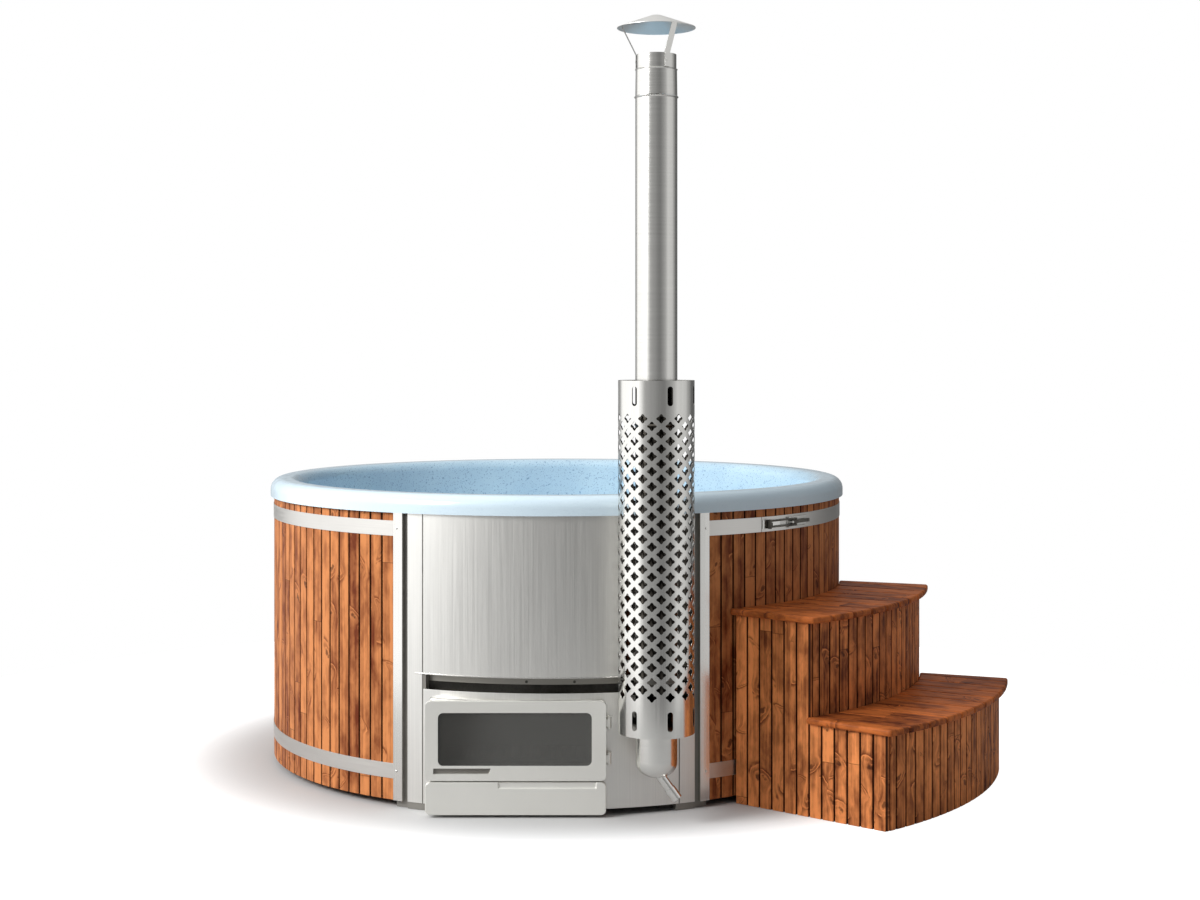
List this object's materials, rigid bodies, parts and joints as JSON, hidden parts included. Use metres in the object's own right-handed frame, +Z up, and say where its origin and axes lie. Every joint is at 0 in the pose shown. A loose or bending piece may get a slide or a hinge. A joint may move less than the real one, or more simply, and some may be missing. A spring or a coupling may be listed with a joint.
{
  "type": "wood-fired hot tub",
  "caption": "Round hot tub clad in upright wooden staves, with a moulded liner, a built-in stove, a shielded chimney, a band latch and curved wooden stairs.",
  "frame": {"origin": "the tub's axis at floor level, under the middle beam", "axes": "+Z up, -Y towards the viewer out of the stove's door, +X to the right of the door, where the stairs stand"},
  "size_m": [2.4279, 2.1686, 2.308],
  "materials": {
    "stave_wood": "oiled heat-treated pine with knots",
    "stair_wood": "oiled heat-treated pine",
    "frame_wood": "plain sawn timber",
    "shell": "light blue speckled gloss",
    "satin_steel": "satin stainless",
    "door_steel": "fine brushed stainless",
    "bright_steel": "bright stainless",
    "pipe_steel": "polished stainless",
    "dark_steel": "matt dark grey",
    "grate_iron": "raw casting",
    "stove_glass": "smoked heat-resistant",
    "gasket_rope": "braided glass rope",
    "rubber": "matt",
    "plastic_pipe": "plain grey"
  },
  "bodies": {
    "tub": {"base_beams": "frame_wood", "liner": "shell", "drain_fitting": "bright_steel", "drain_pipe": "plastic_pipe", "staves_left": "stave_wood", "staves_back": "stave_wood", "staves_right": "stave_wood", "upper_backing_ring": "frame_wood", "lower_backing_ring": "frame_wood", "upper_band": "satin_steel", "lower_band": "satin_steel", "band_screws": "bright_steel", "left_post": "bright_steel", "right_post": "bright_steel", "left_side_strip": "satin_steel", "right_side_strip": "satin_steel", "front_rails": "dark_steel", "upper_front_sheet": "satin_steel", "lower_front_sheet": "satin_steel", "slot_plate": "dark_steel", "slot_ledge": "bright_steel", "slot_screws": "dark_steel", "stove_neck": "satin_steel", "heater_body": "dark_steel", "ash_box": "dark_steel", "stove_feet": "dark_steel", "fire_grate": "grate_iron", "water_ports": "satin_steel", "port_grilles": "bright_steel", "hinge_brackets": "satin_steel", "hinge_pins": "bright_steel", "flue_stub": "dark_steel", "chimney_tee": "pipe_steel", "tee_cap": "pipe_steel", "condensate_spout": "pipe_steel", "condensate_cap": "pipe_steel", "lower_pipe": "pipe_steel", "upper_pipe": "pipe_steel", "top_collar": "pipe_steel", "cap_legs": "pipe_steel", "rain_cap": "pipe_steel", "heat_shield": "pipe_steel", "shield_brackets": "satin_steel", "latch_keeper": "bright_steel", "latch_base": "satin_steel", "latch_pivot": "bright_steel", "stair_side_boards": "stair_wood", "stair_front_boards": "stair_wood", "stair_treads": "stair_wood", "stair_frame": "frame_wood"},
    "fire_door": {"door_frame": "door_steel", "door_glass": "stove_glass", "glass_retainer": "dark_steel", "door_gasket": "gasket_rope", "door_handle": "dark_steel"},
    "ash_drawer": {"ash_drawer_front": "door_steel", "ash_tray": "dark_steel"},
    "latch_lever": {"latch_lever": "bright_steel"},
    "latch_bail": {"latch_bail": "bright_steel"},
    "drain_plug": {"drain_plug": "rubber"}
  },
  "joints": [
    {"name": "fire_door_hinge", "type": "hinge", "parent": "tub", "child": "fire_door", "pos_m": [0.17, -0.952, 0.222], "axis": [0, 0, 1], "range_deg": [0, 90]},
    {"name": "ash_drawer_slide", "type": "slide", "parent": "tub", "child": "ash_drawer", "axis": [0, -1, 0], "range_m": [0, 0.25]},
    {"name": "latch_lever_hinge", "type": "hinge", "parent": "tub", "child": "latch_lever", "pos_m": [0.73498, -0.62138, 0.825], "axis": [0, 0, -1], "range_deg": [0, 100]},
    {"name": "latch_bail_hinge", "type": "hinge", "parent": "latch_lever", "child": "latch_bail", "pos_m": [0.74711, -0.60548, 0.825], "axis": [0, 0, -1], "range_deg": [-100, 0]},
    {"name": "drain_plug_lift", "type": "slide", "parent": "tub", "child": "drain_plug", "axis": [0, 0, 1], "range_m": [0, 0.05]}
  ],
  "couplings": [
    {"joint": "latch_bail_hinge", "follows": "latch_lever_hinge", "ratio": -1}
  ]
}
